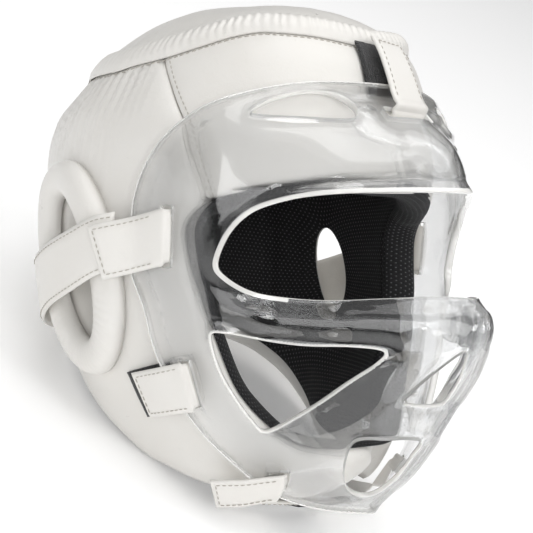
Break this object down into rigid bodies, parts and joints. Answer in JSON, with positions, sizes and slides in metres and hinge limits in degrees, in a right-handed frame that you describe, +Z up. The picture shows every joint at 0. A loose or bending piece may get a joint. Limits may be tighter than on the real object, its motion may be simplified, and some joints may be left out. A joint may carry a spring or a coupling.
{
  "type": "sparring headgear with face shield",
  "caption": "Padded full-face sparring headgear with mesh lining, ear rings, back strap and a clear vented face shield held by leather tabs.",
  "frame": {"origin": "centre of the footprint box, on the surface it rests on", "axes": "+Z up as it rests tipped back on its nape and jaw, -Y towards the side the face looks to, +X to the wearer's left"},
  "size_m": [0.2312, 0.2772, 0.2228],
  "materials": {
    "white_leather": "smooth coated white leather, light grain",
    "black_mesh": "black spacer mesh with rows of small pale dots",
    "clear_shield": "clear polished polycarbonate",
    "hook_and_loop": "black hook-and-loop tape"
  },
  "bodies": {
    "root": {"forehead_panel": "white_leather", "side_panel_right": "white_leather", "side_panel_left": "white_leather", "crown_pad": "white_leather", "crown_binding": "white_leather", "ear_ring_right": "white_leather", "ear_ring_left": "white_leather", "back_strap": "white_leather", "temple_tab_right": "white_leather", "temple_tab_left": "white_leather", "cheek_tab_right": "white_leather", "cheek_tab_left": "white_leather", "chin_tab_right": "white_leather", "chin_tab_left": "white_leather", "forehead_tab": "white_leather", "chin_strap": "white_leather", "mesh_lining": "black_mesh", "face_roll": "black_mesh", "face_shield": "clear_shield", "forehead_loop_patch": "hook_and_loop", "cheek_loop_patch_right": "hook_and_loop", "cheek_loop_patch_left": "hook_and_loop", "chin_loop_patch": "hook_and_loop", "chin_strap_hook": "hook_and_loop"}
  },
  "joints": []
}
